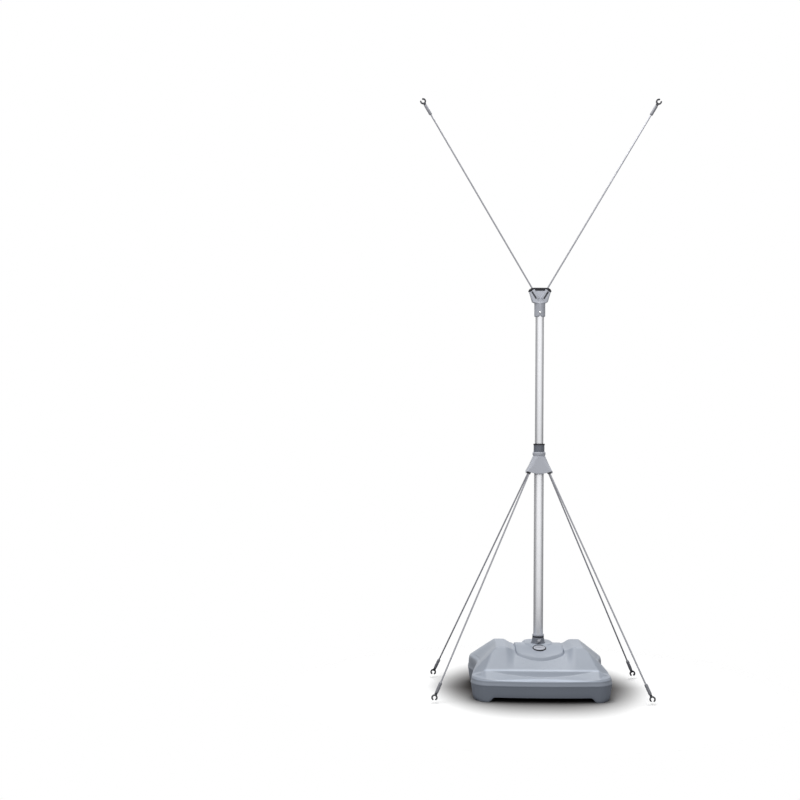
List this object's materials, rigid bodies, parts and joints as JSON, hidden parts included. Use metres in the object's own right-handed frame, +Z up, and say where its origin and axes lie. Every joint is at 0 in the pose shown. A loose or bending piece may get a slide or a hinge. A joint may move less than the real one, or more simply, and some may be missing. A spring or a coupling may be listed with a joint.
{
  "type": "x banner stand",
  "caption": "Outdoor banner stand with a water-filled base, a telescopic pole, folding lower rods and upper arms that end in banner hooks.",
  "frame": {"origin": "on the floor under the pole's axis, centred between the feet of the base", "axes": "+Z up along the pole, +X to the right seen from the front, +Y away from the viewer"},
  "size_m": [0.7916, 0.4252, 1.9388],
  "materials": {
    "tank_plastic": "fine moulded grain, satin",
    "hub_plastic": "moulded, satin",
    "collar_plastic": "moulded, satin",
    "dark_plastic": "moulded, satin",
    "black_rubber": "matt",
    "tube_aluminium": "satin, drawn lengthways",
    "rod_steel": "drawn, satin",
    "ferrule_plastic": "moulded, satin",
    "bright_steel": "plated"
  },
  "bodies": {
    "base": {"base_tank": "tank_plastic", "pole_socket": "hub_plastic", "pole_collar": "collar_plastic", "guard_ring": "hub_plastic", "filler_neck": "dark_plastic", "filler_seal": "black_rubber"},
    "cap_lift": {"filler_gasket": "black_rubber"},
    "cap": {"filler_cap": "hub_plastic"},
    "bolt": {"wing_bolt": "bright_steel"},
    "grip_ring": {"collar_ring": "black_rubber"},
    "lower_pole": {"pole_foot": "dark_plastic", "lower_tube": "tube_aluminium", "lower_hub": "hub_plastic", "hub_screw": "bright_steel", "clutch_bush": "dark_plastic", "hub_pin_front_left": "bright_steel", "hub_pin_front_right": "bright_steel", "hub_pin_rear_left": "bright_steel", "hub_pin_rear_right": "bright_steel"},
    "lock": {"lock_collar": "collar_plastic", "lock_flange": "black_rubber"},
    "upper_pole": {"guide_bush": "dark_plastic", "upper_tube": "tube_aluminium", "upper_hub": "hub_plastic", "hub_trim": "black_rubber", "button_clip": "bright_steel", "arm_pin_left": "bright_steel", "arm_pin_right": "bright_steel"},
    "button": {"snap_button": "bright_steel"},
    "leg_front_left": {"leg_eye_front_left": "dark_plastic", "leg_rod_front_left": "rod_steel", "leg_ferrule_front_left": "ferrule_plastic", "leg_hook_front_left": "dark_plastic"},
    "leg_front_right": {"leg_eye_front_right": "dark_plastic", "leg_rod_front_right": "rod_steel", "leg_ferrule_front_right": "ferrule_plastic", "leg_hook_front_right": "dark_plastic"},
    "leg_rear_left": {"leg_eye_rear_left": "dark_plastic", "leg_rod_rear_left": "rod_steel", "leg_ferrule_rear_left": "ferrule_plastic", "leg_hook_rear_left": "dark_plastic"},
    "leg_rear_right": {"leg_eye_rear_right": "dark_plastic", "leg_rod_rear_right": "rod_steel", "leg_ferrule_rear_right": "ferrule_plastic", "leg_hook_rear_right": "dark_plastic"},
    "arm_left": {"arm_eye_left": "dark_plastic", "arm_rod_left": "rod_steel", "arm_ferrule_left": "ferrule_plastic", "arm_hook_left": "dark_plastic"},
    "arm_right": {"arm_eye_right": "dark_plastic", "arm_rod_right": "rod_steel", "arm_ferrule_right": "ferrule_plastic", "arm_hook_right": "dark_plastic"}
  },
  "joints": [
    {"name": "filler_cap_lift", "type": "slide", "parent": "base", "child": "cap_lift", "axis": [0, -0.1908, 0.9816], "range_m": [0, 0.06]},
    {"name": "filler_cap_turn", "type": "hinge", "parent": "cap_lift", "child": "cap", "pos_m": [0, -0.0505, 0.1425], "axis": [0, -0.1908, 0.9816], "continuous": true},
    {"name": "wing_bolt_turn", "type": "hinge", "parent": "base", "child": "bolt", "pos_m": [0, -0.027, 0.1663], "axis": [0, -1, 0], "continuous": true},
    {"name": "pole_turn", "type": "hinge", "parent": "base", "child": "grip_ring", "pos_m": [0, 0, 0.177], "axis": [0, 0, 1], "continuous": true},
    {"name": "pole_lift", "type": "slide", "parent": "grip_ring", "child": "lower_pole", "axis": [0, 0, 1], "range_m": [0, 0.12]},
    {"name": "lock_collar_twist", "type": "hinge", "parent": "lower_pole", "child": "lock", "pos_m": [0, 0, 0.793], "axis": [0, 0, 1], "range_deg": [0, 90]},
    {"name": "telescope", "type": "slide", "parent": "lower_pole", "child": "upper_pole", "axis": [0, 0, 1], "range_m": [-0.4, 0.04]},
    {"name": "button_press", "type": "slide", "parent": "upper_pole", "child": "button", "axis": [0, 1, 0], "range_m": [0, 0.0065], "stiffness_N_per_m": 400, "deforming": ["button_clip"]},
    {"name": "leg_fold_front_left", "type": "hinge", "parent": "lower_pole", "child": "leg_front_left", "pos_m": [-0.02177, -0.01329, 0.738], "axis": [0.521, -0.8536, 0], "range_deg": [0, 6]},
    {"name": "leg_fold_front_right", "type": "hinge", "parent": "lower_pole", "child": "leg_front_right", "pos_m": [0.02177, -0.01329, 0.738], "axis": [0.521, 0.8536, 0], "range_deg": [0, 6]},
    {"name": "leg_fold_rear_left", "type": "hinge", "parent": "lower_pole", "child": "leg_rear_left", "pos_m": [-0.02177, 0.01329, 0.738], "axis": [-0.521, -0.8536, 0], "range_deg": [0, 6]},
    {"name": "leg_fold_rear_right", "type": "hinge", "parent": "lower_pole", "child": "leg_rear_right", "pos_m": [0.02177, 0.01329, 0.738], "axis": [-0.521, 0.8536, 0], "range_deg": [0, 6]},
    {"name": "arm_fold_left", "type": "hinge", "parent": "upper_pole", "child": "arm_left", "pos_m": [-0.0072, 0, 1.286], "axis": [0, 1, 0], "range_deg": [0, 28]},
    {"name": "arm_fold_right", "type": "hinge", "parent": "upper_pole", "child": "arm_right", "pos_m": [0.0072, 0, 1.286], "axis": [0, -1, 0], "range_deg": [0, 28]}
  ]
}
